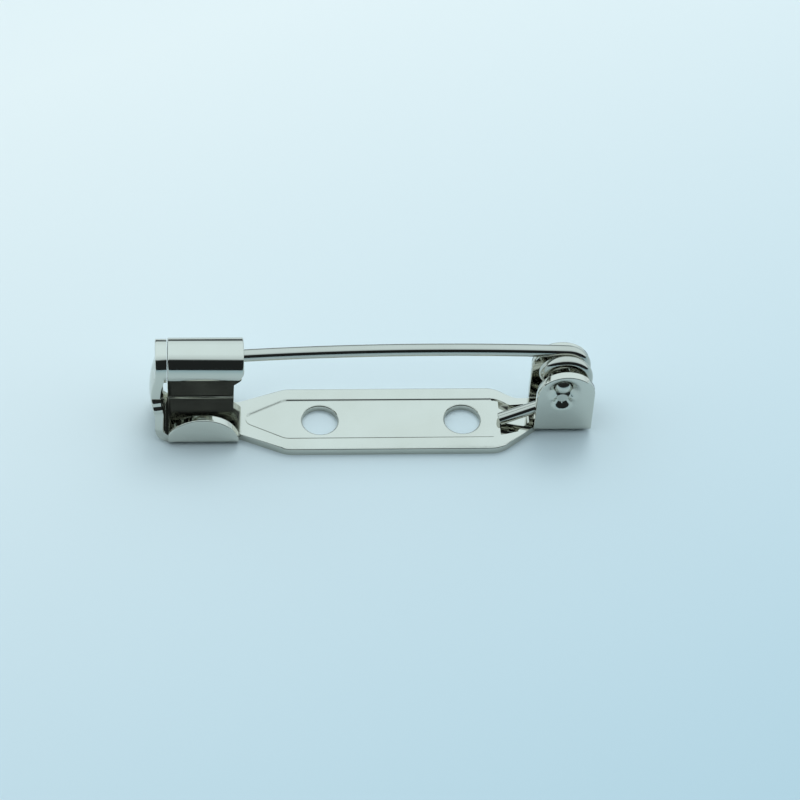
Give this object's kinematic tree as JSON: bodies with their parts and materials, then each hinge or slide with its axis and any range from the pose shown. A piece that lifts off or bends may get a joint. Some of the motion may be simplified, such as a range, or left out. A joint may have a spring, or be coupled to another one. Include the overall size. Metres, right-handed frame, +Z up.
{
  "type": "brooch pin finding",
  "caption": "Bar brooch back with fixing holes, a rolled hook catch and a coiled spring pin that swings on a hinge.",
  "frame": {"origin": "midway between the two fixing holes, on the underside of the bar", "axes": "+X along the bar from the catch to the hinge, +Y away from the mouth of the hook, +Z up through the bar towards the pin"},
  "size_m": [0.0248, 0.0044, 0.0058],
  "materials": {
    "plated_sheet": "bright nickel plate",
    "plated_wire": "bright nickel plate",
    "plated_rivet": "bright nickel plate"
  },
  "bodies": {
    "plate": {"base_plate": "plated_sheet", "hinge_rivet": "plated_rivet"},
    "pin": {"pin_wire": "plated_wire"}
  },
  "joints": [
    {"name": "pin_swing", "type": "hinge", "parent": "plate", "child": "pin", "pos_m": [0.00942, 0.0006, 0.00362], "axis": [0, 1, 0], "range_deg": [0, 110]}
  ]
}
